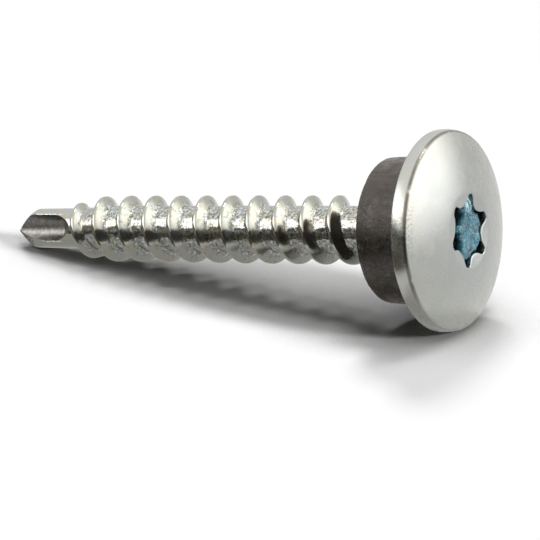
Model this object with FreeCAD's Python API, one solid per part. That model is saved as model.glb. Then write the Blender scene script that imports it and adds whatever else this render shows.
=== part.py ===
import FreeCAD, Part
import math
import os

# Facade screw with a coarse thread, a fluted drill point, a low domed head with a
# six-lobe recess, a rubber sealing washer under the head and a plug of blue wax in
# the recess. It is built upright on its own axis, tip at zero and head at the top,
# and then laid down the way it comes to rest. All sizes are in millimetres and all
# angles in degrees.

# Sizes of the shank and thread
under_head_length = 40.5
core_diameter = 3.76
thread_diameter = 5.4
thread_pitch = 2.5
crest_width = 0.3
flank_angle = 70.0
first_crest = 8.95
run_in_start = 5.05
run_in_end = 10.15
core_taper_start = 7.1
core_taper_length = 2.2
run_out_length = 1.45
plain_core_length = 2.05
ridge_foot_depth = 0.13
ridge_end_depth = 0.1
ridge_end_height = 0.6

# Sizes of the drill point
drill_tip_diameter = 3.2
drill_diameter = 3.38
point_length = 1.85
lip_bulge_height = 0.2
flank_relief = 41.0
web_thickness = 0.44
flute_radius = 1.1
flute_straight_length = 4.35
flute_exit_angle = 45.0
gash_angle = 20.0

# Sizes of the head
head_diameter = 15.36
rim_thickness = 1.18
rim_front_inset = 0.13
rim_back_inset = 0.03
dome_height = 1.48
neck_cone = 0.8

# Sizes of the six-lobe recess
recess_across_lobes = 5.6
recess_across_ribs = 3.95
lobe_tip_radius = 0.45
recess_depth = 1.9
mouth_diameter = 5.84
mouth_slope = 9.0

# Sizes of the sealing washer
washer_diameter = 11.3
washer_thickness = 4.3
washer_edge = 0.15
bore_clearance = 0.03
neck_clearance = 0.1

# Sizes of the wax plug
wax_wall_clearance = 0.3
wax_below_mouth = 0.15

# Directions around the axis, counted from straight up once the screw lies down
thread_direction = -15.0
flute_direction = 74.5
recess_direction = -18.5

# Sizes that follow from the ones above
core_radius = core_diameter / 2.0
thread_radius = thread_diameter / 2.0
drill_radius = drill_diameter / 2.0
drill_tip_radius = drill_tip_diameter / 2.0
head_radius = head_diameter / 2.0
rim_back_radius = head_radius - rim_back_inset
rim_front_radius = head_radius - rim_front_inset
rim_front = under_head_length + rim_thickness
widest_share = 1.0 / (1.0 + math.sqrt(rim_front_inset / rim_back_inset))
widest_height = under_head_length + rim_thickness * widest_share
dome_top = rim_front + dome_height
dome_radius = (rim_front_radius ** 2 + dome_height ** 2) / (2.0 * dome_height)
mouth_radius = mouth_diameter / 2.0
mouth_height = dome_top - dome_radius + math.sqrt(dome_radius ** 2 - mouth_radius ** 2)
washer_radius = washer_diameter / 2.0
washer_face = under_head_length - washer_thickness
run_out_end = washer_face - plain_core_length
run_out_start = run_out_end - run_out_length
ridge_base_radius = drill_radius - ridge_foot_depth
lip_rise = point_length / drill_tip_radius
relief_rise = math.tan(math.radians(flank_relief))
gash_spread = math.tan(math.radians(gash_angle))

origin = FreeCAD.Vector(0, 0, 0)
up = FreeCAD.Vector(0, 0, 1)


def at(radius, height):
    """A point of a turned outline, from its radius and height."""
    return FreeCAD.Vector(radius, 0, height)


def line(start, end):
    """A straight edge of an outline."""
    return Part.makeLine(at(*start), at(*end))


def arc(start, middle, end):
    """A curved edge of an outline through three points."""
    return Part.Arc(at(*start), at(*middle), at(*end)).toShape()


def turned(edges):
    """The solid that a closed outline makes when it is turned about the axis."""
    face = Part.Face(Part.Wire(edges))
    return face.revolve(origin, up, 360)


def around(direction, radius, height):
    """A point at a direction around the axis."""
    a = math.radians(direction)
    return FreeCAD.Vector(radius * math.cos(a), radius * math.sin(a), height)


# Turned blank of the screw: drill body, core, neck cone, rim and dome
def make_blank():
    taper_end = core_taper_start + core_taper_length
    neck_low = under_head_length - neck_cone
    neck_wide = core_radius + neck_cone
    half = rim_front_radius / 2.0
    dome_mid = (half, dome_top - dome_radius + math.sqrt(dome_radius ** 2 - half ** 2))
    return turned([
        line((0, 0), (drill_tip_radius, 0)),
        line((drill_tip_radius, 0), (drill_radius, core_taper_start)),
        line((drill_radius, core_taper_start), (core_radius, taper_end)),
        line((core_radius, taper_end), (core_radius, neck_low)),
        line((core_radius, neck_low), (neck_wide, under_head_length)),
        line((neck_wide, under_head_length), (rim_back_radius, under_head_length)),
        arc((rim_back_radius, under_head_length), (head_radius, widest_height),
            (rim_front_radius, rim_front)),
        arc((rim_front_radius, rim_front), dome_mid, (0, dome_top)),
        line((0, dome_top), (0, 0)),
    ])


# Thread ridge: a sharp section carried along a right-hand helix. Its crest keeps one
# radius in the middle, and at both ends it sinks along a curve into the core, where
# the section dwindles
def crest_point(height, radius):
    turn = thread_direction + 360.0 * (height - first_crest) / thread_pitch
    return around(turn, radius, height)


def ridge_section(height, crest, foot):
    """The section of the ridge where its crest passes a height, down to a buried foot."""
    half_crest = crest_width / 2.0
    half_foot = half_crest + (crest - foot) * math.tan(math.radians(flank_angle / 2.0))
    section = Part.makePolygon([
        at(foot, height - half_foot),
        at(crest, height - half_crest),
        at(crest, height + half_crest),
        at(foot, height + half_foot),
        at(foot, height - half_foot),
    ])
    turn = thread_direction + 360.0 * (height - first_crest) / thread_pitch
    section.rotate(origin, up, turn)
    return section


def carried(sections, path):
    """The solid that sections make when they are carried upright along a path."""
    sweep = Part.BRepOffsetAPI.MakePipeShell(path)
    sweep.setBiNormalMode(up)
    for section in sections:
        sweep.add(section)
    sweep.build()
    sweep.makeSolid()
    return sweep.shape()


def sinking_end(full_height, end_height, buried_radius):
    """The end of the ridge, from its full height to where it is buried in the core."""
    points_per_turn = 12
    turns = abs(end_height - full_height) / thread_pitch
    steps = 4 + int(turns * points_per_turn)
    points = []
    for n in range(steps + 1):
        share = n / steps
        height = full_height + (end_height - full_height) * share
        radius = thread_radius - (thread_radius - buried_radius) * share ** 2
        points.append(crest_point(height, radius))
    curve = Part.BSplineCurve()
    curve.interpolate(Points=points)
    return carried([
        ridge_section(full_height, thread_radius, ridge_base_radius),
        ridge_section(end_height, buried_radius, buried_radius - ridge_end_height),
    ], Part.Wire(curve.toShape()))


def make_ridges():
    climb = run_out_start - run_in_end
    path = Part.makeLongHelix(thread_pitch, climb, thread_radius, 0, False)
    path.translate(FreeCAD.Vector(0, 0, run_in_end))
    turn = thread_direction + 360.0 * (run_in_end - first_crest) / thread_pitch
    path.rotate(origin, up, turn)
    return [
        sinking_end(run_in_end, run_in_start, drill_radius - ridge_end_depth),
        carried([ridge_section(run_in_end, thread_radius, ridge_base_radius)], path),
        sinking_end(run_out_start, run_out_end, core_radius - ridge_end_depth),
    ]


# Flute: a round channel beside the web that turns outward at its upper end
def make_flute(direction):
    offset = web_thickness / 2.0 + flute_radius
    bend = math.radians(flute_exit_angle)
    start = at(offset, -1.0)
    knee = at(offset, flute_straight_length)
    end = knee + FreeCAD.Vector(math.sin(bend), 0, math.cos(bend)) * 5.0
    path = Part.makePolygon([start, knee, end])
    ring = Part.Wire(Part.makeCircle(flute_radius, start, up))
    flute = path.makePipeShell([ring], True, False, 1)
    flute.rotate(origin, up, direction)
    return flute


# Flank: what lies ahead of a crowned cutting lip, carried back along the relief
def beyond_flank(direction):
    chord = math.hypot(drill_tip_radius, point_length)
    middle_side = drill_tip_radius / 2.0 + lip_bulge_height * point_length / chord
    middle_rise = point_length / 2.0 - lip_bulge_height * drill_tip_radius / chord
    reach = 2.0 * thread_radius
    middle = FreeCAD.Vector(0, middle_side, middle_rise)
    corner = FreeCAD.Vector(0, drill_tip_radius, point_length)
    outside = FreeCAD.Vector(0, reach, point_length + 3.0 * (reach - drill_tip_radius))
    below = FreeCAD.Vector(0, reach, -reach)
    behind = FreeCAD.Vector(0, -reach, -reach)
    other_side = FreeCAD.Vector(0, -reach, -reach * middle_rise / middle_side)
    face = Part.Face(Part.Wire([
        Part.Arc(origin, middle, corner).toShape(),
        Part.makeLine(corner, outside),
        Part.makeLine(outside, below),
        Part.makeLine(below, behind),
        Part.makeLine(behind, other_side),
        Part.makeLine(other_side, origin),
    ]))
    back = FreeCAD.Vector(-reach, 0, reach * relief_rise)
    face.translate(back)
    block = face.extrude(back * -2.0)
    block.rotate(origin, up, direction)
    return block


# Gash: what lies outside the plane that opens the flute down to its cutting lip
def beyond_gash(direction):
    size = 4.0 * thread_diameter
    half_web = web_thickness / 2.0
    corner = FreeCAD.Vector(-size / 2.0, -size / 2.0, 0)
    lip_start = FreeCAD.Vector(half_web, 0, -half_web * relief_rise)
    outward = FreeCAD.Vector(1, lip_rise * gash_spread, -gash_spread)
    block = Part.makeBox(size, size, size, corner)
    block.Placement = FreeCAD.Placement(lip_start, FreeCAD.Rotation(up, outward))
    block.rotate(origin, up, direction)
    return block


# Drill point: two flutes, two relieved flanks that meet at the chisel edge, and a
# gash in front of each cutting lip
def cut_point(body):
    for side in (flute_direction, flute_direction + 180.0):
        body = body.cut(make_flute(side))
        body = body.cut(beyond_flank(side))
        body = body.cut(beyond_gash(side))
    return body


# Outline of the six-lobe recess: round lobe tips joined by round ribs
def lobed_face(inset, height):
    tip = lobe_tip_radius - inset
    far = recess_across_lobes / 2.0 - inset
    near = recess_across_ribs / 2.0 - inset
    tip_centre = far - tip
    c = math.cos(math.radians(30))
    rib = (tip_centre ** 2 + near ** 2 - 2.0 * tip_centre * near * c - tip ** 2)
    rib = rib / (2.0 * (tip + tip_centre * c - near))
    rib_centre = near + rib
    edges = []
    for n in range(6):
        a = recess_direction + 60.0 * n
        lobe = around(a, tip_centre, height)
        before = around(a - 30, rib_centre, height)
        after = around(a + 30, rib_centre, height)
        following = around(a + 60, tip_centre, height)
        join_in = lobe + (before - lobe) * (tip / (tip + rib))
        join_out = lobe + (after - lobe) * (tip / (tip + rib))
        join_next = following + (after - following) * (tip / (tip + rib))
        edges.append(Part.Arc(join_in, around(a, far, height), join_out).toShape())
        edges.append(Part.Arc(join_out, around(a + 30, near, height), join_next).toShape())
    return Part.Face(Part.Wire(edges))


# Recess: lobed walls down to a flat floor, and a sloped mouth
def make_recess():
    floor = mouth_height - recess_depth
    walls = lobed_face(0.0, floor).extrude(FreeCAD.Vector(0, 0, recess_depth + 1.0))
    drop = math.tan(math.radians(mouth_slope))
    mouth = turned([
        line((0, mouth_height - mouth_radius * drop), (mouth_radius, mouth_height)),
        line((mouth_radius, mouth_height), (mouth_radius, mouth_height + 1.0)),
        line((mouth_radius, mouth_height + 1.0), (0, mouth_height + 1.0)),
        line((0, mouth_height + 1.0), (0, mouth_height - mouth_radius * drop)),
    ])
    return walls.fuse(mouth)


# Sealing washer: a thick rubber ring that grips the plain core under the head
def make_washer():
    bore = core_radius + bore_clearance
    lead = neck_cone + neck_clearance
    outer = washer_radius
    edge = washer_edge
    low = washer_face
    top = under_head_length
    return turned([
        line((bore, low), (outer - edge, low)),
        line((outer - edge, low), (outer, low + edge)),
        line((outer, low + edge), (outer, top)),
        line((outer, top), (bore + lead, top)),
        line((bore + lead, top), (bore, top - lead)),
        line((bore, top - lead), (bore, low)),
    ])


# Wax plug: a smaller lobed body that stands on the floor of the recess
def make_wax():
    floor = mouth_height - recess_depth
    height = recess_depth - wax_below_mouth
    return lobed_face(wax_wall_clearance, floor).extrude(FreeCAD.Vector(0, 0, height))


screw = make_blank().fuse(make_ridges())
screw = cut_point(screw)
screw = screw.cut(make_recess()).removeSplitter()
washer = make_washer()
wax = make_wax()


# Resting pose: the screw lies on the edge of its rim and on the corner of its drill
# point, so its axis rises toward the head
corner_side = math.radians(180.0 - flute_direction)
corner_height = drill_tip_radius * (
    lip_rise * math.sin(corner_side) - relief_rise * math.cos(corner_side)
)
tilt = math.atan2(head_radius - drill_tip_radius, widest_height - corner_height)


def laid_down(shape):
    """The upright piece turned so that its head points along +X and its tip rests."""
    along = FreeCAD.Vector(math.cos(tilt), 0, math.sin(tilt))
    above = FreeCAD.Vector(-math.sin(tilt), 0, math.cos(tilt))
    front = FreeCAD.Vector(0, -1, 0)
    lie = FreeCAD.Matrix(
        above.x, front.x, along.x, 0,
        above.y, front.y, along.y, 0,
        above.z, front.z, along.z, 0,
        0, 0, 0, 1,
    )
    placed = shape.copy()
    placed.Placement = FreeCAD.Placement(lie).multiply(placed.Placement)
    return placed


pieces = {
    "screw": laid_down(screw),
    "sealing_washer": laid_down(washer),
    "recess_wax": laid_down(wax),
}
box = pieces["screw"].optimalBoundingBox(False)
centre = FreeCAD.Vector(
    -(box.XMin + box.XMax) / 2.0, -(box.YMin + box.YMax) / 2.0, -box.ZMin
)

os.makedirs("parts", exist_ok=True)
for name, piece in pieces.items():
    piece.translate(centre)
    piece.exportStep("parts/" + name + ".step")
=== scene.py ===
import math

import bmesh
import bpy
from mathutils import Matrix, Vector, noise


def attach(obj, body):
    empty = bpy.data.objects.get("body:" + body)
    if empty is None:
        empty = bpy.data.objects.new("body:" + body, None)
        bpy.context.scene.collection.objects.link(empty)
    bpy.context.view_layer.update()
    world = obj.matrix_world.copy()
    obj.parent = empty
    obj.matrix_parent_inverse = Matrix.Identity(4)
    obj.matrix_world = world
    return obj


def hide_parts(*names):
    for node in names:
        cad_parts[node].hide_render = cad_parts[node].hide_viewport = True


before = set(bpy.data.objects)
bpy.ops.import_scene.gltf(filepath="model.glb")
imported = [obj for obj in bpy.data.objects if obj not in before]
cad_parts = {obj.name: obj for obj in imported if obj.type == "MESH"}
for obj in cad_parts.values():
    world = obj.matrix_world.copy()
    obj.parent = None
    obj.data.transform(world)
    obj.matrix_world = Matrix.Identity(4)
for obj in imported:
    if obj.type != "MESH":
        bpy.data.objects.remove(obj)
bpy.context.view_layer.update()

scene = bpy.context.scene
scene.view_settings.view_transform = "Standard"
mm = 0.001

# Sizes of the screw in millimetres and degrees, as in the solid model. A height is
# measured from the tip along the screw's own axis, and a turn from the side that
# points up, toward the front
core = 1.88
crest = 2.7
crest_half_width = 0.12
flank_angle = 35.0
pitch = 2.5
first_crest = 8.95
thread_turn = -15.0
run_in = (5.05, 10.15)
run_out = (32.7, 34.15)
run_end_depth = 0.1
drill_tip = 1.6
drill_back = 1.69
drill_length = 7.1
drill_taper = 2.2
point_length = 1.85
lip_crown = 0.2
relief_slope = math.tan(math.radians(41.0))
gash_slope = math.tan(math.radians(20.0))
web = 0.44
flute_radius = 1.1
flute_straight = 4.35
flute_turn = 74.5
neck = 0.8
head_under = 40.5
head_radius = 7.68
rim = 1.18
rim_back = 7.65
rim_front = 7.55
rim_widest = 0.3829
dome = 1.48
recess_turn = -18.5
recess_depth = 1.9
lobe_reach = 2.8
lobe_round = 0.45
rib_reach = 1.975
mouth_radius = 2.92
mouth_ledge = 0.08
mouth_slope = math.tan(math.radians(9.0))
washer_radius = 5.65
washer_low = 36.2

rim_top = head_under + rim
dome_top = rim_top + dome
dome_radius = (rim_front ** 2 + dome ** 2) / (2.0 * dome)
flute_offset = web / 2.0 + flute_radius

# The screw lies on its drill point and the edge of its head. Its own axis starts at
# the tip and rises toward the head
tilt = 0.15571934
tip = Vector((-0.02142507, 0.0, 0.00127626))
along = Vector((math.cos(tilt), 0.0, math.sin(tilt)))
above = Vector((-math.sin(tilt), 0.0, math.cos(tilt)))
front = Vector((0.0, -1.0, 0.0))


def on_screw(side_up, side_front, height):
    """A place in the scene from millimetres above, in front of and along the axis."""
    return tip + (above * side_up + front * side_front + along * height) * mm


# Camera: a long lens from the front right, a little above the screw
azimuth = math.radians(32.04)
elevation = math.radians(17.93)
camera_distance = 207.5
middle_height = 24.97
middle_lowered = 3.198
toward = Vector((
    math.sin(azimuth) * math.cos(elevation),
    -math.cos(azimuth) * math.cos(elevation),
    math.sin(elevation),
))
rightward = Vector((math.cos(azimuth), math.sin(azimuth), 0.0))
upward = toward.cross(rightward)
looked_at = tip + along * middle_height * mm - upward * middle_lowered * mm
camera_data = bpy.data.cameras.new("camera")
camera_data.lens = 175.26
camera_data.sensor_width = 36.0
camera_data.clip_start = 0.01
camera_data.clip_end = 10.0
camera = bpy.data.objects.new("camera", camera_data)
turned_to_view = Matrix((rightward, upward, toward)).transposed().to_4x4()
camera.matrix_world = Matrix.Translation(looked_at + toward * camera_distance * mm) @ turned_to_view
scene.collection.objects.link(camera)
scene.camera = camera


# Helpers for node trees
def tree_of(owner):
    owner.use_nodes = True
    owner.node_tree.nodes.clear()
    return owner.node_tree


def put(tree, kind, links=None, **settings):
    """Adds a node, sets its settings and inputs, and returns it."""
    node = tree.nodes.new(kind)
    for name, value in settings.items():
        setattr(node, name, value)
    for name, value in (links or {}).items():
        socket = node.inputs[name]
        if isinstance(value, bpy.types.NodeSocket):
            tree.links.new(value, socket)
        else:
            socket.default_value = value
    return node


def math_of(tree, operation, a, b=0.0):
    return put(tree, "ShaderNodeMath", {0: a, 1: b}, operation=operation).outputs[0]


def vector_of(tree, operation, a, b):
    """The vector that two vectors make."""
    return put(tree, "ShaderNodeVectorMath", {0: a, 1: b}, operation=operation).outputs["Vector"]


def along_axis(tree, vector, axis):
    """How far a vector reaches along an axis."""
    return put(tree, "ShaderNodeVectorMath", {0: vector, 1: tuple(axis)},
               operation="DOT_PRODUCT").outputs["Value"]


def length_across(tree, x, y):
    """The length of a vector with two sides."""
    flat = put(tree, "ShaderNodeCombineXYZ", {0: x, 1: y, 2: 0.0}).outputs[0]
    return put(tree, "ShaderNodeVectorMath", {0: flat}, operation="LENGTH").outputs["Value"]


def sides_of(tree, vector):
    return put(tree, "ShaderNodeSeparateXYZ", {0: vector}).outputs


def times(tree, *masks):
    result = masks[0]
    for mask in masks[1:]:
        result = math_of(tree, "MULTIPLY", result, mask)
    return result


def remap(tree, value, low, high, to_low=0.0, to_high=1.0, smooth=True):
    """A value between low and high, taken to the span between two other values."""
    kind = "SMOOTHSTEP" if smooth else "LINEAR"
    node = put(tree, "ShaderNodeMapRange", {
        "Value": value, "From Min": low, "From Max": high,
        "To Min": to_low, "To Max": to_high}, interpolation_type=kind)
    return node.outputs[0]


def mix(tree, share, a, b):
    """A colour between two colours, each a socket or red, green and blue."""
    node = put(tree, "ShaderNodeMix", {0: share}, data_type="RGBA")
    for index, value in ((6, a), (7, b)):
        if isinstance(value, bpy.types.NodeSocket):
            tree.links.new(value, node.inputs[index])
        else:
            node.inputs[index].default_value = (*value, 1.0)
    return node.outputs[2]


def matt_surface(tree, shade, glow):
    """Ends a material as a matt surface with a glow of its own."""
    matt = put(tree, "ShaderNodeBsdfDiffuse", {"Color": shade})
    light = put(tree, "ShaderNodeEmission", {"Strength": glow})
    both = put(tree, "ShaderNodeAddShader", {0: matt.outputs[0], 1: light.outputs[0]})
    put(tree, "ShaderNodeOutputMaterial", {"Surface": both.outputs[0]})


def principled_surface(tree, sockets):
    shader = put(tree, "ShaderNodeBsdfPrincipled", sockets)
    put(tree, "ShaderNodeOutputMaterial", {"Surface": shader.outputs[0]})


# Studio: a pale room that polished metal shows as it is
def towards(tree, direction, place):
    """How nearly a direction points to a place, as the cosine of the angle between."""
    return along_axis(tree, direction, Vector(place).normalized())


def soft_box(tree, direction, place, half_width, half_height, edge):
    """A mask of the directions that meet an upright box, sized in tangents."""
    aim = Vector(place).normalized()
    side = Vector((0.0, 0.0, 1.0)).cross(aim).normalized()
    reach = math_of(tree, "MAXIMUM", towards(tree, direction, aim), 0.01)
    mask = remap(tree, towards(tree, direction, aim), 0.0, 0.1)
    for across, half in ((side, half_width), (aim.cross(side), half_height)):
        part = math_of(tree, "DIVIDE", towards(tree, direction, across), reach)
        part = math_of(tree, "ABSOLUTE", part)
        mask = times(tree, mask, remap(tree, part, half - edge, half + edge, 1.0, 0.0))
    return mask


def studio_room():
    """A bright sheet on the right, a soft box in front on the left, and dark low in front."""
    sheet_place = (0.81, 0.41, 0.42)
    sheet_strength = 1.9
    box_place = (-0.55, -0.67, 0.50)
    box_strength = 2.6
    dark_place = (0.17, -0.985, 0.0)
    dark_strength = 0.06
    room_light = 0.02
    world = bpy.data.worlds.new("studio")
    scene.world = world
    tree = tree_of(world)
    direction = put(tree, "ShaderNodeTexCoord").outputs["Generated"]
    sides = sides_of(tree, direction)
    height = sides["Z"]
    level = remap(tree, height, 0.0, 0.9, 0.95, 1.5)
    sheet = remap(tree, towards(tree, direction, sheet_place), 0.75, 0.97)
    sheet = times(tree, sheet, remap(tree, height, -0.05, 0.25, 0.45, 1.0), sheet_strength)
    level = math_of(tree, "ADD", level, sheet)
    box = soft_box(tree, direction, box_place, half_width=0.42, half_height=0.25, edge=0.03)
    level = math_of(tree, "ADD", level, times(tree, box, box_strength))

    # In front it is dark up to a slanting edge, higher on the right
    slant = times(tree, remap(tree, sides["X"], 0.0, 0.9), 0.2)
    low_down = remap(tree, math_of(tree, "SUBTRACT", height, slant), 0.20, 0.29, 1.0, 0.0)
    in_front = remap(tree, towards(tree, direction, dark_place), 0.20, 0.34)
    dim = times(tree, low_down, in_front)
    level = times(tree, level, remap(tree, dim, 0.0, 1.0, 1.0, dark_strength))

    # Mirrors show the room, the camera sees white, and little of it lights the floor
    ray = put(tree, "ShaderNodeLightPath").outputs
    mirrored = math_of(tree, "MAXIMUM", ray["Is Glossy Ray"], ray["Is Transmission Ray"])
    level = times(tree, level, mirrored)
    rest = math_of(tree, "SUBTRACT", 1.0, mirrored)
    plain = remap(tree, ray["Is Camera Ray"], 0.0, 1.0, room_light, 1.0)
    level = math_of(tree, "ADD", level, times(tree, rest, plain))
    room = put(tree, "ShaderNodeBackground", {"Color": (1.0, 1.0, 1.0, 1.0), "Strength": level})
    put(tree, "ShaderNodeOutputWorld", {"Surface": room.outputs[0]})


floor_white = 0.9


def lamp(name, place, share_of_floor, spread, mirrored=False):
    """A far lamp that gives the floor a share of its full white."""
    data = bpy.data.lights.new(name, "SUN")
    aim = Vector(place).normalized()
    data.energy = share_of_floor * math.pi / floor_white / aim.z
    data.angle = math.radians(spread)
    made = bpy.data.objects.new(name, data)
    made.rotation_mode = "QUATERNION"
    made.rotation_quaternion = aim.to_track_quat("Z", "Y")
    made.visible_glossy = mirrored
    scene.collection.objects.link(made)


studio_room()
lamp("overhead", (0.0, 0.28, 0.96), share_of_floor=0.22, spread=16.0, mirrored=True)
lamp("front_right", (0.59, -0.41, 0.69), share_of_floor=0.09, spread=20.0)
lamp("back_left", (-0.381, 0.61, 0.695), share_of_floor=0.30, spread=14.0)
lamp("low_right", (0.905, -0.04, 0.423), share_of_floor=0.38, spread=12.0)


def stage_card(name, corners, shade, glow=0.0):
    """A flat card, sized in millimetres, that only the shining surfaces show."""
    mesh = bpy.data.meshes.new(name)
    mesh.from_pydata([Vector(c) * mm for c in corners], [], [range(len(corners))])
    card = bpy.data.objects.new(name, mesh)
    scene.collection.objects.link(card)
    card.visible_camera = False
    card.visible_shadow = False
    card.visible_diffuse = False
    cloth = bpy.data.materials.new(name)
    tree = tree_of(cloth)
    speck = put(tree, "ShaderNodeTexNoise", {"Scale": 900.0, "Detail": 2.0}).outputs["Fac"]
    darker = tuple(part * 0.6 for part in shade)
    matt_surface(tree, mix(tree, speck, darker, shade), glow)
    mesh.materials.append(cloth)


# Cards that only shining surfaces show, as painted reflections: a dark one lies in front of the
# thread as mirrored shade, a grey one stands in front on the left, and a pale one lies under the
# thread and glows as a mirrored lit floor
card_reach = 400.0
lying_height = 0.3
stage_card("lying_card", [(x, y, lying_height) for x, y in (
    (-card_reach, -5.6), (-6.0, -5.8), (2.0, -7.2), (14.0, -15.0), (22.0, -22.0),
    (60.0, -24.0), (card_reach, -24.0), (card_reach, -600.0), (-card_reach, -600.0))],
    shade=(0.14, 0.132, 0.107))
left_foot = (-39.0, -12.0)
right_foot = (1.6, -41.0)
standing_height = 9.0
stage_card("standing_card", [
    (*left_foot, 0.0), (*right_foot, 0.0), (*right_foot, standing_height),
    (*left_foot, standing_height)], shade=(0.35, 0.34, 0.31))
pale_height = 0.12
stage_card("pale_card", [(x, y, pale_height) for x, y in (
    (-45.0, -5.5), (-6.0, -5.7), (10.0, -9.0), (10.0, 14.0), (-45.0, 14.0))],
    shade=(0.1, 0.1, 0.095), glow=0.58)


def white_floor():
    """White paper that keeps the shadow, with painted shade that darkens its colour under the screw
    for the camera.
    """
    closeness = 0.011
    bpy.ops.mesh.primitive_plane_add(size=3.0)
    floor = bpy.context.object
    floor.name = "floor"
    paper = bpy.data.materials.new("white_paper")
    tree = tree_of(paper)
    # Painted shade: the paper's colour darkens where the screw closes off the sky nearby, and only
    # the camera sees it
    open_sky = put(tree, "ShaderNodeAmbientOcclusion", {"Distance": closeness},
                   samples=8).outputs["AO"]
    deeper = remap(tree, open_sky, 0.40, 0.90, 0.26, 1.0, smooth=False)
    looked_on = put(tree, "ShaderNodeLightPath").outputs["Is Camera Ray"]
    white = (floor_white, floor_white, floor_white)
    white_with_painted_shade = mix(tree, deeper, (0.0, 0.0, 0.0), white)
    matt_surface(tree, mix(tree, looked_on, white, white_with_painted_shade), glow=0.01)
    floor.data.materials.append(paper)


white_floor()


# Effects that more than one finish uses
vector_kind = "NodeSocketVector"
number_kind = "NodeSocketFloat"


def new_effect(name, inputs, outputs):
    """A node group with its named sockets, and the two nodes that reach them."""
    group = bpy.data.node_groups.new(name, "ShaderNodeTree")
    for label, kind, value in inputs:
        socket = group.interface.new_socket(label, in_out="INPUT", socket_type=kind)
        if value is not None:
            socket.default_value = value
    for label, kind in outputs:
        group.interface.new_socket(label, in_out="OUTPUT", socket_type=kind)
    given = group.nodes.new("NodeGroupInput").outputs
    wanted = group.nodes.new("NodeGroupOutput").inputs
    return group, given, wanted


def place_on_screw_effect():
    """Where a spot is on the screw, in millimetres from its tip along its own axes."""
    tree, given, wanted = new_effect(
        "place_on_screw", [("Place", vector_kind, None)],
        [("Spot", vector_kind), ("Height", number_kind), ("Radius", number_kind),
         ("Turn", number_kind)])
    moved = vector_of(tree, "SUBTRACT", given["Place"], tuple(tip))
    up, forward, height = (along_axis(tree, moved, axis / mm) for axis in (above, front, along))
    spot = put(tree, "ShaderNodeCombineXYZ", {0: up, 1: forward, 2: height}).outputs[0]
    turn = math_of(tree, "ARCTAN2", forward, up)
    tree.links.new(spot, wanted["Spot"])
    tree.links.new(height, wanted["Height"])
    tree.links.new(length_across(tree, up, forward), wanted["Radius"])
    tree.links.new(times(tree, turn, 180.0 / math.pi), wanted["Turn"])
    return tree


def mottle_effect():
    """Cloudy patches, as a mask."""
    tree, given, wanted = new_effect(
        "mottle", [("Spot", vector_kind, None), ("Size", number_kind, 1.0),
                   ("Low", number_kind, 0.4), ("High", number_kind, 0.6)],
        [("Mask", number_kind)])
    scale = math_of(tree, "DIVIDE", 1.0, given["Size"])
    cloud = put(tree, "ShaderNodeTexNoise", {
        "Vector": given["Spot"], "Scale": scale, "Detail": 3.0}).outputs["Fac"]
    tree.links.new(remap(tree, cloud, given["Low"], given["High"]), wanted["Mask"])
    return tree


def fine_grain_effect():
    """Fine uneven grain, as a height."""
    tree, given, wanted = new_effect(
        "fine_grain", [("Spot", vector_kind, None), ("Size", number_kind, 0.1)],
        [("Height", number_kind)])
    scale = math_of(tree, "DIVIDE", 1.0, given["Size"])
    cloud = put(tree, "ShaderNodeTexNoise", {
        "Vector": given["Spot"], "Scale": scale, "Detail": 5.0, "Roughness": 0.6})
    tree.links.new(cloud.outputs["Fac"], wanted["Height"])
    return tree


def scuffs_effect():
    """Thin broken scuffs that run one way, as a mask."""
    tree, given, wanted = new_effect(
        "scuffs", [("Spot", vector_kind, None), ("Stretch", vector_kind, (1.0, 1.0, 1.0)),
                   ("Width", number_kind, 0.02)], [("Mask", number_kind)])
    drawn = vector_of(tree, "MULTIPLY", given["Spot"], given["Stretch"])
    cloud = put(tree, "ShaderNodeTexNoise", {"Vector": drawn, "Scale": 1.0, "Detail": 2.0})
    off = math_of(tree, "SUBTRACT", cloud.outputs["Fac"], 0.5)
    line = remap(tree, math_of(tree, "ABSOLUTE", off), 0.0, given["Width"], 1.0, 0.0)
    broken = put(tree, "ShaderNodeTexNoise", {"Vector": given["Spot"], "Scale": 0.9})
    line = times(tree, line, remap(tree, broken.outputs["Fac"], 0.5, 0.62))
    tree.links.new(line, wanted["Mask"])
    return tree


place_on_screw = place_on_screw_effect()
mottle = mottle_effect()
fine_grain = fine_grain_effect()
scuffs = scuffs_effect()


def effect(tree, group, links):
    return put(tree, "ShaderNodeGroup", links, node_tree=group).outputs


def on_piece(tree):
    """The place on the screw of the spot that is shaded."""
    here = put(tree, "ShaderNodeTexCoord").outputs["Object"]
    return effect(tree, place_on_screw, {"Place": here})


def patches(tree, spot, size, low, high):
    return effect(tree, mottle, {"Spot": spot, "Size": size, "Low": low, "High": high})["Mask"]


def scuffed(tree, spot, stretch, width):
    return effect(tree, scuffs, {"Spot": spot, "Stretch": stretch, "Width": width})["Mask"]


def grained(tree, spot, size):
    return effect(tree, fine_grain, {"Spot": spot, "Size": size})["Height"]


def uneven_sheen(tree, spot, size, smooth, rough):
    """Roughness that changes in patches."""
    return remap(tree, patches(tree, spot, size, 0.35, 0.65), 0.0, 1.0, smooth, rough)


# Zinc plating
def plated_thread(tree, spot, on_thread, on_root):
    """Satin grey green with patches of brown and blue, and speckled in the roots."""
    green = (0.335, 0.345, 0.295)
    brown = (0.36, 0.34, 0.285)
    blue = (0.325, 0.355, 0.35)
    dark_speck = (0.15, 0.145, 0.12)
    light_speck = (0.50, 0.52, 0.53)
    stain = (0.20, 0.195, 0.165)
    tint = mix(tree, patches(tree, spot, 2.2, 0.42, 0.62), green, brown)
    tint = mix(tree, patches(tree, spot, 0.7, 0.52, 0.66), tint, blue)
    specks = times(tree, on_root, patches(tree, spot, 0.18, 0.50, 0.58))
    tint = mix(tree, specks, tint, dark_speck)
    specks = times(tree, on_root, patches(tree, spot, 0.24, 0.55, 0.60))
    tint = mix(tree, specks, tint, light_speck)
    stains = times(tree, on_thread, patches(tree, spot, 0.35, 0.58, 0.66), 0.6)
    return mix(tree, stains, tint, stain)


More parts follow.
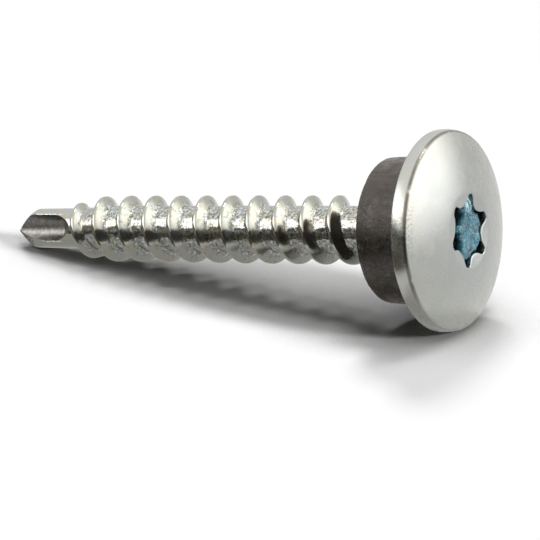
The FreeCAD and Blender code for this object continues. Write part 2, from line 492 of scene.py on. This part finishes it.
def plated_head(tree, here):
    """Grey, warmer toward the edge, with a speckled dark patch at the camera's left."""
    middle = (0.378, 0.39, 0.376)
    edge = (0.385, 0.383, 0.352)
    cloudy = (0.365, 0.375, 0.352)
    dark_patch = (0.20, 0.20, 0.175)
    patch_turn = 76.0
    spot, radius, turn = here["Spot"], here["Radius"], here["Turn"]
    tint = mix(tree, remap(tree, radius, 3.5, 7.6), middle, edge)
    tint = mix(tree, patches(tree, spot, 2.6, 0.45, 0.65), tint, cloudy)
    patch = times(
        tree, remap(tree, turn, patch_turn - 26.0, patch_turn),
        remap(tree, turn, patch_turn + 22.0, patch_turn), remap(tree, radius, 6.6, 7.2),
        patches(tree, spot, 0.18, 0.46, 0.56), 0.6)
    return mix(tree, patch, tint, dark_patch)


def painted_rim_shade(tree, here, up):
    """A line of painted shade where the rim meets the dome, which fades toward the bottom."""
    spot, height, radius = here["Spot"], here["Height"], here["Radius"]
    return times(
        tree, remap(tree, height, rim_top - 0.28, rim_top - 0.12),
        remap(tree, height, rim_top + 0.12, rim_top - 0.02),
        remap(tree, radius, rim_front - 0.17, rim_front - 0.09),
        patches(tree, spot, 1.1, 0.30, 0.50), remap(tree, up, -4.8, -2.2, 0.15, 1.0), 0.8)


def flute_masks(tree, here, up):
    """Masks of the flutes, of the ground flank below the lips on the lower side, which takes
    painted shade, and of the flutes' edges, which take a painted highlight.
    """
    spot, height, radius = here["Spot"], here["Height"], here["Radius"]
    swung = put(tree, "ShaderNodeVectorRotate", {
        "Vector": spot, "Angle": math.radians(-flute_turn)}, rotation_type="Z_AXIS")
    across = sides_of(tree, swung.outputs[0])
    aside = math_of(tree, "SUBTRACT", math_of(tree, "ABSOLUTE", across["X"]), flute_offset)
    away = length_across(tree, aside, across["Y"])
    in_flute = times(
        tree, remap(tree, away, flute_radius + 0.06, flute_radius + 0.02),
        remap(tree, height, 6.6, 6.0), remap(tree, radius, drill_tip + 0.02, drill_tip - 0.05))
    # Painted shade on the ground flank, on the lower side only
    shaded_lower_flank = times(
        tree, remap(tree, height, point_length - 0.1, point_length - 0.4),
        remap(tree, up, 0.05, -0.2), patches(tree, spot, 0.22, 0.38, 0.56),
        math_of(tree, "SUBTRACT", 1.0, in_flute))
    # Painted highlight along the flutes' edges
    off_edge = math_of(tree, "SUBTRACT", away, flute_radius + 0.02)
    highlighted_flute_edge = times(
        tree, remap(tree, math_of(tree, "ABSOLUTE", off_edge), 0.03, 0.07, 1.0, 0.0),
        remap(tree, height, 5.4, 4.9), remap(tree, radius, drill_tip - 0.26, drill_tip - 0.1),
        patches(tree, spot, 0.25, 0.40, 0.52))
    return in_flute, shaded_lower_flank, highlighted_flute_edge


def zinc_plating():
    """Bright zinc, duller in the roots of the thread, in the flutes and on the head."""
    rim_shade_colour = (0.10, 0.085, 0.062)
    flute_dark = (0.17, 0.162, 0.148)
    flute_light = (0.25, 0.24, 0.223)
    ground = (0.11, 0.105, 0.095)
    painted_edge_highlight = (0.80, 0.80, 0.77)
    scratch = (0.55, 0.55, 0.52)
    worn_edge = 0.07
    zinc = bpy.data.materials.new("zinc_plating")
    tree = tree_of(zinc)
    here = on_piece(tree)
    spot, height, radius = here["Spot"], here["Height"], here["Radius"]
    up = sides_of(tree, spot)["X"]
    on_head = remap(tree, height, head_under - 0.6, head_under + 0.1)
    on_thread = times(tree, remap(tree, height, 6.5, 9.0),
                      remap(tree, height, head_under + 0.1, head_under - 0.6))
    on_root = times(tree, on_thread, remap(tree, radius, 2.35, 1.95))
    on_crest = times(tree, on_thread, remap(tree, radius, crest - 0.15, crest - 0.02))
    tint = mix(tree, on_head, plated_thread(tree, spot, on_thread, on_root),
               plated_head(tree, here))
    # Painted shade: a dark line where the rim meets the dome
    tint = mix(tree, painted_rim_shade(tree, here, up), tint, rim_shade_colour)
    in_flute, shaded_lower_flank, highlighted_flute_edge = flute_masks(tree, here, up)
    # The flutes take a darker tint, painted shade in their channels
    flute_painted_shade = mix(tree, patches(tree, spot, 0.3, 0.42, 0.6), flute_dark, flute_light)
    tint = mix(tree, in_flute, tint, flute_painted_shade)
    # Painted shade on the point's lower flank, and a painted highlight along the flutes' edges
    tint = mix(tree, shaded_lower_flank, tint, ground)
    tint = mix(tree, highlighted_flute_edge, tint, painted_edge_highlight)
    scratches = times(tree, scuffed(tree, spot, (3.0, 3.0, 1.2), 0.012), 0.35)
    tint = mix(tree, scratches, tint, scratch)

    sheen = uneven_sheen(tree, spot, 1.4, 0.11, 0.17)
    for mask, duller in ((on_root, 0.03), (on_crest, -0.04), (in_flute, 0.2), (on_head, 0.12)):
        sheen = math_of(tree, "ADD", sheen, times(tree, mask, duller))
    grain_depth = remap(tree, on_root, 0.0, 1.0, 0.35, 1.0, smooth=False)
    softened_edges = put(tree, "ShaderNodeBevel", {"Radius": worn_edge * mm}, samples=6)
    relief = put(tree, "ShaderNodeBump", {
        "Height": times(tree, grained(tree, spot, 0.14), grain_depth), "Strength": 0.5,
        "Distance": 0.016 * mm, "Normal": softened_edges.outputs[0]})
    principled_surface(tree, {
        "Base Color": tint, "Metallic": 1.0, "Roughness": sheen, "Normal": relief.outputs[0]})
    return zinc


def black_rubber():
    """Brownish black, with dust and painted light toward the top and bottom, and with light specks
    and scuffs.
    """
    clean = (0.002, 0.0017, 0.0014)
    dusty_and_lit = (0.050, 0.037, 0.027)
    streak = (0.055, 0.044, 0.033)
    light_speck = (0.12, 0.10, 0.082)
    scuff = (0.07, 0.06, 0.05)
    rubber = bpy.data.materials.new("black_rubber")
    tree = tree_of(rubber)
    spot = on_piece(tree)["Spot"]
    # Dust and painted light: the rubber turns lighter brown toward the top and bottom, and the
    # middle stays dark
    off_middle = math_of(tree, "ABSOLUTE", sides_of(tree, spot)["X"])
    dust_and_painted_light = remap(tree, off_middle, 0.6, 4.2, 0.1, 1.0)
    tint = mix(tree, times(tree, dust_and_painted_light, patches(tree, spot, 1.3, 0.36, 0.60)), clean, dusty_and_lit)
    drawn = vector_of(tree, "MULTIPLY", spot, (1.0, 1.0, 0.28))
    tint = mix(tree, times(tree, dust_and_painted_light, patches(tree, drawn, 0.20, 0.50, 0.68)), tint, streak)
    tint = mix(tree, patches(tree, spot, 0.11, 0.58, 0.68), tint, light_speck)
    tint = mix(tree, times(tree, scuffed(tree, spot, (2.4, 2.4, 0.5), 0.02), 0.6), tint, scuff)
    relief = put(tree, "ShaderNodeBump", {
        "Height": grained(tree, spot, 0.22), "Strength": 0.6, "Distance": 0.03 * mm})
    principled_surface(tree, {
        "Base Color": tint, "Roughness": uneven_sheen(tree, spot, 0.5, 0.34, 0.52),
        "IOR": 1.55, "Specular Tint": (1.0, 0.93, 0.84, 1.0), "Normal": relief.outputs[0]})
    return rubber


def blue_wax():
    """Wet and lumpy, paler in the top lobe and deeper blue far down, where shade is painted."""
    dark_blue = (0.010, 0.055, 0.078)
    clear_blue = (0.040, 0.150, 0.195)
    pale_speck = (0.20, 0.36, 0.42)
    top_lobe_pale = (0.30, 0.47, 0.50)
    dark_speck = (0.006, 0.045, 0.065)
    painted_depth_shade = (0.003, 0.012, 0.016)
    wax = bpy.data.materials.new("blue_wax")
    tree = tree_of(wax)
    here = on_piece(tree)
    spot = here["Spot"]
    tint = mix(tree, patches(tree, spot, 0.55, 0.38, 0.62), dark_blue, clear_blue)
    tint = mix(tree, patches(tree, spot, 0.2, 0.58, 0.68), tint, pale_speck)
    # The wax is paler in its top lobe
    in_top_lobe = remap(tree, sides_of(tree, spot)["X"], 1.3, 1.9)
    pale_top = times(tree, in_top_lobe, patches(tree, spot, 0.3, 0.36, 0.52))
    tint = mix(tree, pale_top, tint, top_lobe_pale)
    tint = mix(tree, patches(tree, spot, 0.32, 0.60, 0.66), tint, dark_speck)
    # Painted shade: the wax darkens far down in the recess
    tint = mix(tree, remap(tree, here["Height"], 42.62, 42.1), tint, painted_depth_shade)
    wet = remap(tree, patches(tree, spot, 0.3, 0.4, 0.6), 0.0, 1.0, 0.05, 0.2)
    relief = put(tree, "ShaderNodeBump", {
        "Height": grained(tree, spot, 0.35), "Strength": 0.6, "Distance": 0.08 * mm})
    principled_surface(tree, {
        "Base Color": tint, "Roughness": wet, "Normal": relief.outputs[0]})
    return wax


# Helpers for shapes
columns = 150
turns = [360.0 * n / columns for n in range(columns)]


def soft_step(low, high, value):
    share = min(1.0, max(0.0, (value - low) / (high - low)))
    return share * share * (3.0 - 2.0 * share)


def soft_larger(a, b, blend):
    """The larger of two values, with a small fillet where they meet."""
    return max(a, b) + max(blend - abs(a - b), 0.0) ** 2 / (4.0 * blend)


def unevenness(x, y, z, size, seed=0.0):
    """Smooth noise between about -1 and 1 whose lumps have a size in millimetres."""
    return noise.noise(Vector((x / size + seed, y / size, z / size)))


def at_turn(radius, turn):
    """The two sides of a point at a radius and a turn."""
    a = math.radians(turn)
    return radius * math.cos(a), radius * math.sin(a)


def new_piece(name, verts, faces, material):
    """Makes a piece from millimetre points on the screw's own axis."""
    same_place = 0.00005 * mm
    mesh = bpy.data.meshes.new(name)
    mesh.from_pydata([on_screw(*v) for v in verts], [], faces)
    bm = bmesh.new()
    bm.from_mesh(mesh)
    bmesh.ops.remove_doubles(bm, verts=bm.verts, dist=same_place)
    bmesh.ops.dissolve_degenerate(bm, edges=bm.edges, dist=same_place)
    bmesh.ops.recalc_face_normals(bm, faces=bm.faces)
    bm.to_mesh(mesh)
    bm.free()
    mesh.materials.append(material)
    piece = bpy.data.objects.new(name, mesh)
    scene.collection.objects.link(piece)
    return piece


def joined_rings(rings, start_cap=True, end_cap=True):
    """Points and faces of a skin through rings with equal numbers of points."""
    count = len(rings[0])
    verts = [v for ring in rings for v in ring]
    faces = []
    for r in range(len(rings) - 1):
        for n in range(count):
            m = (n + 1) % count
            a, b = r * count, (r + 1) * count
            faces.append((a + n, a + m, b + m, b + n))
    if start_cap:
        faces.append(tuple(range(count - 1, -1, -1)))
    if end_cap:
        faces.append(tuple(range(len(verts) - count, len(verts))))
    return verts, faces


def together(*skins):
    """The points and faces of several skins as one."""
    verts, faces = [], []
    for more_verts, more_faces in skins:
        shift = len(verts)
        verts += more_verts
        faces += [tuple(v + shift for v in face) for face in more_faces]
    return verts, faces


def ring_of(radius, height):
    """A ring of points, from a radius and a height that may depend on the turn."""
    ring = []
    for turn in turns:
        r = radius(turn) if callable(radius) else radius
        h = height(turn) if callable(height) else height
        ring.append((*at_turn(r, turn), h))
    return ring


def softened(outline, reach, step=0.02):
    """An outline of (radius, height) points with its corners rounded over a reach."""
    longest_run = 0.4
    most_swing = math.radians(9.0)
    dense = []
    for (r0, h0), (r1, h1) in zip(outline, outline[1:]):
        count = max(1, round(math.hypot(r1 - r0, h1 - h0) / step))
        dense += [(r0 + (r1 - r0) * n / count, h0 + (h1 - h0) * n / count)
                  for n in range(count)]
    dense.append(outline[-1])
    half = round(reach / step)
    for _ in range(2):
        blurred = []
        for n in range(len(dense)):
            k = min(half, n, len(dense) - 1 - n)
            window = dense[n - k:n + k + 1]
            blurred.append((sum(p[0] for p in window) / len(window),
                            sum(p[1] for p in window) / len(window)))
        dense = blurred
    kept = [dense[0]]
    heading = None
    for before, here in zip(dense, dense[1:]):
        turned = math.atan2(here[1] - before[1], here[0] - before[0])
        if heading is None:
            heading = turned
        swing = abs(math.atan2(math.sin(turned - heading), math.cos(turned - heading)))
        if swing > most_swing or math.dist(kept[-1], here) > longest_run:
            kept.append(here)
            heading = turned
    if kept[-1] != dense[-1]:
        kept.append(dense[-1])
    return kept


def smoothed(piece, sharp_over):
    """Smooth shading, with edges sharper than an angle kept crisp."""
    mesh = piece.data
    mesh.polygons.foreach_set("use_smooth", [True] * len(mesh.polygons))
    mesh.set_sharp_from_angle(angle=math.radians(sharp_over))
    mesh.update()


def stand_in(piece, node):
    """The piece stands for a node of the solid model, which is hidden, and is attached to the root
    body.
    """
    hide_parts(node)
    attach(piece, "root")


# Shank: the blank's radius at a height, and the ridge that winds round it
ridge_low = 4.2
ridge_high = 35.1
ridge_corner = 0.06
ridge_foot = 0.07


def blank_radius(height):
    drill = drill_tip + (drill_back - drill_tip) * min(1.0, max(0.0, height / drill_length))
    taper = min(1.0, max(0.0, (height - drill_length) / drill_taper))
    return drill + (core - drill) * taper


def crest_radius(height):
    """Radius of the crest, which sinks below the blank at both ends of the thread."""
    if height < run_in[1]:
        share = (run_in[1] - height) / (run_in[1] - run_in[0])
        return crest - (crest - drill_back + run_end_depth) * share ** 2
    if height > run_out[0]:
        share = (height - run_out[0]) / (run_out[1] - run_out[0])
        return crest - (crest - core + run_end_depth) * share ** 2
    return crest


def ridge_radius(crest_at, offset):
    """Radius of the ridge at an axial distance from its crest, with soft corners."""
    if crest_at < run_in[0] or crest_at > run_out[1]:
        return 0.0
    beyond = soft_larger(abs(offset) - crest_half_width, 0.0, ridge_corner)
    return crest_radius(crest_at) - beyond / math.tan(math.radians(flank_angle))


def crest_height(turn):
    """Height of the first crest at a turn, as if the thread ran on."""
    return first_crest + (turn - thread_turn) / 360.0 * pitch


def thread_point(turn, height):
    """A point of the threaded shank, with the hammered look of its roots."""
    base = blank_radius(height)
    crest_at = crest_height(turn)
    crest_at += round((height - crest_at) / pitch) * pitch
    radius = soft_larger(base, ridge_radius(crest_at, height - crest_at), ridge_foot)
    x, y = at_turn(radius, turn)
    formed = soft_step(8.3, 9.6, height) * (1.0 - soft_step(33.2, 34.0, height))
    root = 1.0 - soft_step(0.02, 0.4, radius - base)
    dents = 0.022 * unevenness(x, y, height, 0.30) * root
    ripples = 0.006 * unevenness(x, y, height, 0.8, 9.0)
    waves = 0.012 * unevenness(x, y, height, 1.7, 5.0) * (1.0 - root)
    return (*at_turn(radius + (dents + ripples + waves) * formed, turn), height)


def threaded_skin():
    """A grid whose rows follow the ridge, cut level at its two ends."""
    steps = (0.06, 0.10, 0.14, 0.19, 0.32, 0.47, 0.60, 0.66, 0.72, 0.80, 0.90, 1.02, 1.14)
    offsets = sorted([-s for s in steps] + [0.0] + list(steps) + [pitch / 2.0])
    first = math.floor((ridge_low - first_crest) / pitch) - 2
    last = math.ceil((ridge_high - first_crest) / pitch) + 2
    rows = [k * pitch + offset for k in range(first, last + 1) for offset in offsets]
    verts = []
    for turn in [*turns, 360.0]:
        for row in rows:
            height = min(ridge_high, max(ridge_low, crest_height(turn) + row))
            verts.append(thread_point(turn, height))
    faces = []
    for n in range(columns):
        for r in range(len(rows) - 1):
            a, b = n * len(rows) + r, (n + 1) * len(rows) + r
            corners = (a, b, b + 1, a + 1)
            heights = {round(verts[c][2], 6) for c in corners}
            if len(heights) > 1:
                faces.append(corners)
    return verts, faces


# Head: its dome, its rim and the six-lobe recess
def dome_height(radius):
    return dome_top - dome_radius + math.sqrt(dome_radius ** 2 - radius ** 2)


def mouth_height(radius):
    """Height of the sloped mouth of the recess."""
    return dome_height(mouth_radius) - (mouth_radius - radius) * mouth_slope


def lobe_radius(turn):
    """Outline of the six-lobe recess: round lobe tips joined by round ribs."""
    lobe_centre = lobe_reach - lobe_round
    c, s = math.cos(math.radians(30.0)), math.sin(math.radians(30.0))
    rib = lobe_centre ** 2 + rib_reach ** 2 - 2.0 * lobe_centre * rib_reach * c - lobe_round ** 2
    rib = rib / (2.0 * (lobe_round + lobe_centre * c - rib_reach))
    rib_centre = rib_reach + rib
    a = math.radians(abs((turn - recess_turn + 30.0) % 60.0 - 30.0))
    reach = lobe_round ** 2 - (lobe_centre * math.sin(a)) ** 2
    share = lobe_round / (lobe_round + rib)
    join = math.atan2(rib_centre * s * share, lobe_centre + (rib_centre * c - lobe_centre) * share)
    if a <= join and reach > 0.0:
        return lobe_centre * math.cos(a) + math.sqrt(reach)
    b = math.radians(30.0) - a
    inner = rib ** 2 - (rib_centre * math.sin(b)) ** 2
    return rib_centre * math.cos(b) - math.sqrt(max(0.0, inner))


def rim_radius(rise):
    """Radius of the crowned rim at a rise above the head's underside."""
    if rise < rim_widest:
        return head_radius - (head_radius - rim_back) * (rise / rim_widest - 1.0) ** 2
    share = (rise - rim_widest) / (rim - rim_widest)
    return head_radius - (head_radius - rim_front) * share ** 2


def head_outline():
    """Radii and heights from the plain core up over the head to the recess's mouth."""
    outline = [(core, ridge_high), (core, head_under - neck), (core + neck, head_under),
               (rim_back, head_under)]
    rises = [n / 12.0 * rim for n in range(1, 13)]
    outline += [(rim_radius(rise), head_under + rise) for rise in rises]
    radius = rim_front - 0.05
    while radius > mouth_radius:
        outline.append((radius, dome_height(radius)))
        radius -= 0.1
    ledge = mouth_radius - mouth_ledge
    return outline + [(mouth_radius, mouth_height(mouth_radius)), (ledge, mouth_height(ledge))]


def head_rings():
    """Rings over the head, then through the mouth and down the walls to the floor."""
    rings = [ring_of(r, h) for r, h in softened(head_outline(), 0.05)]
    ledge = mouth_radius - mouth_ledge
    for share in (0.25, 0.5, 0.75, 0.92):
        def radius(t, share=share):
            return ledge + (min(lobe_radius(t) + 0.04, ledge) - ledge) * share
        rings.append(ring_of(radius, lambda t, radius=radius: mouth_height(radius(t))))
    for out, drop in ((0.02, 0.012), (0.006, 0.035), (0.0, 0.08)):
        rings.append(ring_of(lambda t, o=out: lobe_radius(t) + o,
                             lambda t, d=drop: mouth_height(lobe_radius(t)) - d))
    bottom = dome_height(mouth_radius) - recess_depth
    for share in (0.33, 0.66, 1.0):
        rings.append(ring_of(
            lobe_radius,
            lambda t, s=share: (mouth_height(lobe_radius(t)) - 0.08) * (1.0 - s) + bottom * s))
    for share in (0.96, 0.5, 0.05):
        rings.append(ring_of(lambda t, s=share: lobe_radius(t) * s, bottom))
    return rings


# Cutters of the drill point, as in the solid model
def turned_by(points, turn):
    a = math.radians(turn)
    c, s = math.cos(a), math.sin(a)
    return [(x * c - y * s, x * s + y * c, z) for x, y, z in points]


def flute_cutter(turn):
    """A round bar that runs straight along the drill and then leans out of it."""
    count = 64
    low_end = -1.0
    lean_length = 5.0
    lean = math.radians(45.0)
    start, bend, end = [], [], []
    for n in range(count):
        x, y = at_turn(flute_radius, 360.0 * n / count)
        bend_height = flute_straight - x * math.tan(lean / 2.0)
        start.append((flute_offset + x, y, low_end))
        bend.append((flute_offset + x, y, bend_height))
        end.append((flute_offset + x + lean_length * math.sin(lean), y,
                    bend_height + lean_length * math.cos(lean)))
    return joined_rings([turned_by(ring, turn) for ring in (start, bend, end)])


def flank_cutter(turn):
    """What is ground off below a lip, falling away behind it."""
    lip_steps = 16
    chord = math.hypot(drill_tip, point_length)
    side = drill_tip / 2.0 + lip_crown * point_length / chord
    rise = point_length / 2.0 - lip_crown * drill_tip / chord
    reach = 2.0 * crest
    # A curve through the axis, the crown of the lip and its outer corner
    lip = []
    for n in range(lip_steps + 1):
        u = n / lip_steps
        bend = 4.0 * u * (1.0 - u)
        lip.append((drill_tip * u + (side - drill_tip / 2.0) * bend,
                    point_length * u + (rise - point_length / 2.0) * bend))
    outline = lip + [
        (reach, point_length + 3.0 * (reach - drill_tip)), (reach, -reach),
        (-reach, -reach), (-reach, -reach * rise / side)]
    near = [(-reach, y, z + reach * relief_slope) for y, z in outline]
    far = [(reach, y, z - reach * relief_slope) for y, z in outline]
    return joined_rings([turned_by(near, turn), turned_by(far, turn)])


def gash_cutter(turn):
    """A square block whose face thins the web before a lip."""
    size = 10.0
    lip_rise = point_length / drill_tip
    out = Vector((1.0, lip_rise * gash_slope, -gash_slope)).normalized()
    across = Vector((0.0, 0.0, 1.0)).cross(out).normalized()
    up = out.cross(across)
    start = Vector((web / 2.0, 0.0, -web / 2.0 * relief_slope))
    near = [start + across * size * a + up * size * b
            for a, b in ((-1, -1), (1, -1), (1, 1), (-1, 1))]
    far = [p + out * size for p in near]
    return joined_rings([turned_by([tuple(p) for p in near], turn),
                         turned_by([tuple(p) for p in far], turn)])


def cut_with(piece, cutters):
    """Takes closed cutters out of a piece and removes them from the scene."""
    for verts, faces in cutters:
        tool = new_piece("cutter", verts, faces, piece.data.materials[0])
        cut = piece.modifiers.new("cut", "BOOLEAN")
        cut.operation = "DIFFERENCE"
        cut.solver = "EXACT"
        cut.object = tool
        graph = bpy.context.evaluated_depsgraph_get()
        result = bpy.data.meshes.new_from_object(piece.evaluated_get(graph))
        piece.modifiers.clear()
        piece.data = result
        bpy.data.objects.remove(tool)


drill_heights = (0.0, 0.6, 1.2, 1.8, 2.4, 3.0, 3.6, ridge_low)
drill_rings = [ring_of(blank_radius(h), h) for h in drill_heights]
screw = new_piece("screw_body", *together(
    joined_rings(drill_rings, end_cap=False), threaded_skin(),
    joined_rings(head_rings(), start_cap=False)), zinc_plating())
cut_with(screw, [make(flute_turn + half_turn) for half_turn in (0.0, 180.0)
                 for make in (flute_cutter, flank_cutter, gash_cutter)])
smoothed(screw, 35.0)
stand_in(screw, "screw")


# Sealing washer: a thick ring with soft outer edges, a little worn and lumpy
def washer_outline():
    """Radii and heights round the ring, from the top of its bore and back to the top."""
    bore = core + 0.05
    edge = washer_radius - 0.05
    top = head_under - 0.01
    middle = (washer_low + head_under) / 2.0
    half_height = (head_under - washer_low) / 2.0
    outline = [(bore + neck + 0.1, top), (bore, top - neck - 0.1), (bore, washer_low)]
    outline += [(bore + (edge - bore) * n / 12.0, washer_low) for n in range(1, 13)]
    for n in range(1, 24):
        height = washer_low + (top - washer_low) * n / 24.0
        inward = 0.05 * ((height - middle) / half_height) ** 2
        outline.append((washer_radius - inward, height))
    outline.append((edge, top))
    top_width = washer_radius - 0.95 - bore - neck
    return outline + [(edge - top_width * n / 8.0, top) for n in range(1, 9)]


def washer_rings():
    top = head_under - 0.01
    rings = []
    for radius, height in softened(washer_outline(), 0.14, 0.03):
        ring = []
        for turn in turns:
            x, y = at_turn(radius, turn)
            worn = soft_step(4.8, 5.4, radius) * (1.0 - soft_step(top - 0.25, top, height))
            inward = 0.05 * abs(unevenness(x, y, height, 1.6, 3.0)) * worn
            inward += 0.02 * abs(unevenness(x, y, height, 0.35, 7.0)) * worn
            ring.append((*at_turn(radius - inward, turn), height))
        rings.append(ring)
    rings.append(rings[0])
    return rings


washer = new_piece(
    "sealing_washer_rubber",
    *joined_rings(washer_rings(), start_cap=False, end_cap=False), black_rubber())
smoothed(washer, 50.0)
stand_in(washer, "sealing_washer")


# Wax: a lumpy plug that fills the middle of the recess and its top and bottom lobes
def wax_reach(turn):
    """Radius of the wax, which stays short of the two lobes at the camera's left."""
    full = 2.25
    aside = (turn - recess_turn + 180.0) % 360.0 - 180.0
    if aside >= 0.0:
        left = soft_step(12.0, 36.0, aside) * (1.0 - soft_step(144.0, 168.0, aside))
        full -= 1.25 * left
    full += 0.5 * (1.0 - soft_step(4.0, 24.0, abs(aside - 90.0)))
    full += 0.45 * (1.0 - soft_step(6.0, 26.0, abs(aside)))
    full += 0.16 * unevenness(*at_turn(2.0, turn), 0.0, 0.8)
    return min(lobe_radius(turn) - 0.06, full)


def wax_top(x, y):
    """Height of the wax's lumpy top."""
    mouth = dome_height(mouth_radius)
    lumps = 0.26 * unevenness(x, y, 0.0, 1.0, 2.0) + 0.14 * unevenness(x, y, 0.0, 0.5, 6.0)
    ripples = 0.03 * unevenness(x, y, 0.0, 0.2, 4.0)
    return min(mouth - 0.05, mouth - 0.21 + 0.6 * lumps + ripples)


def wax_rings():
    """Rings up the side of the plug and then over its top to the middle."""
    low = dome_height(mouth_radius) - recess_depth + 0.01
    shoulder = 0.22
    top_steps = 30
    rings = []
    for share in (0.0, 0.3, 0.6, 0.85, 1.0):
        ring = []
        for turn in turns:
            x, y = at_turn(wax_reach(turn), turn)
            ring.append((x, y, low + (wax_top(x, y) - shoulder - low) * share))
        rings.append(ring)
    for step in range(1, top_steps):
        rounding = shoulder * max(0.0, 1.0 - step / 5.0) ** 2
        ring = []
        for turn in turns:
            x, y = at_turn(wax_reach(turn) * (1.0 - step / top_steps), turn)
            ring.append((x, y, wax_top(x, y) - rounding))
        rings.append(ring)
    return rings


plug = new_piece("recess_wax_plug", *joined_rings(wax_rings()), blue_wax())
smoothed(plug, 60.0)
stand_in(plug, "recess_wax")
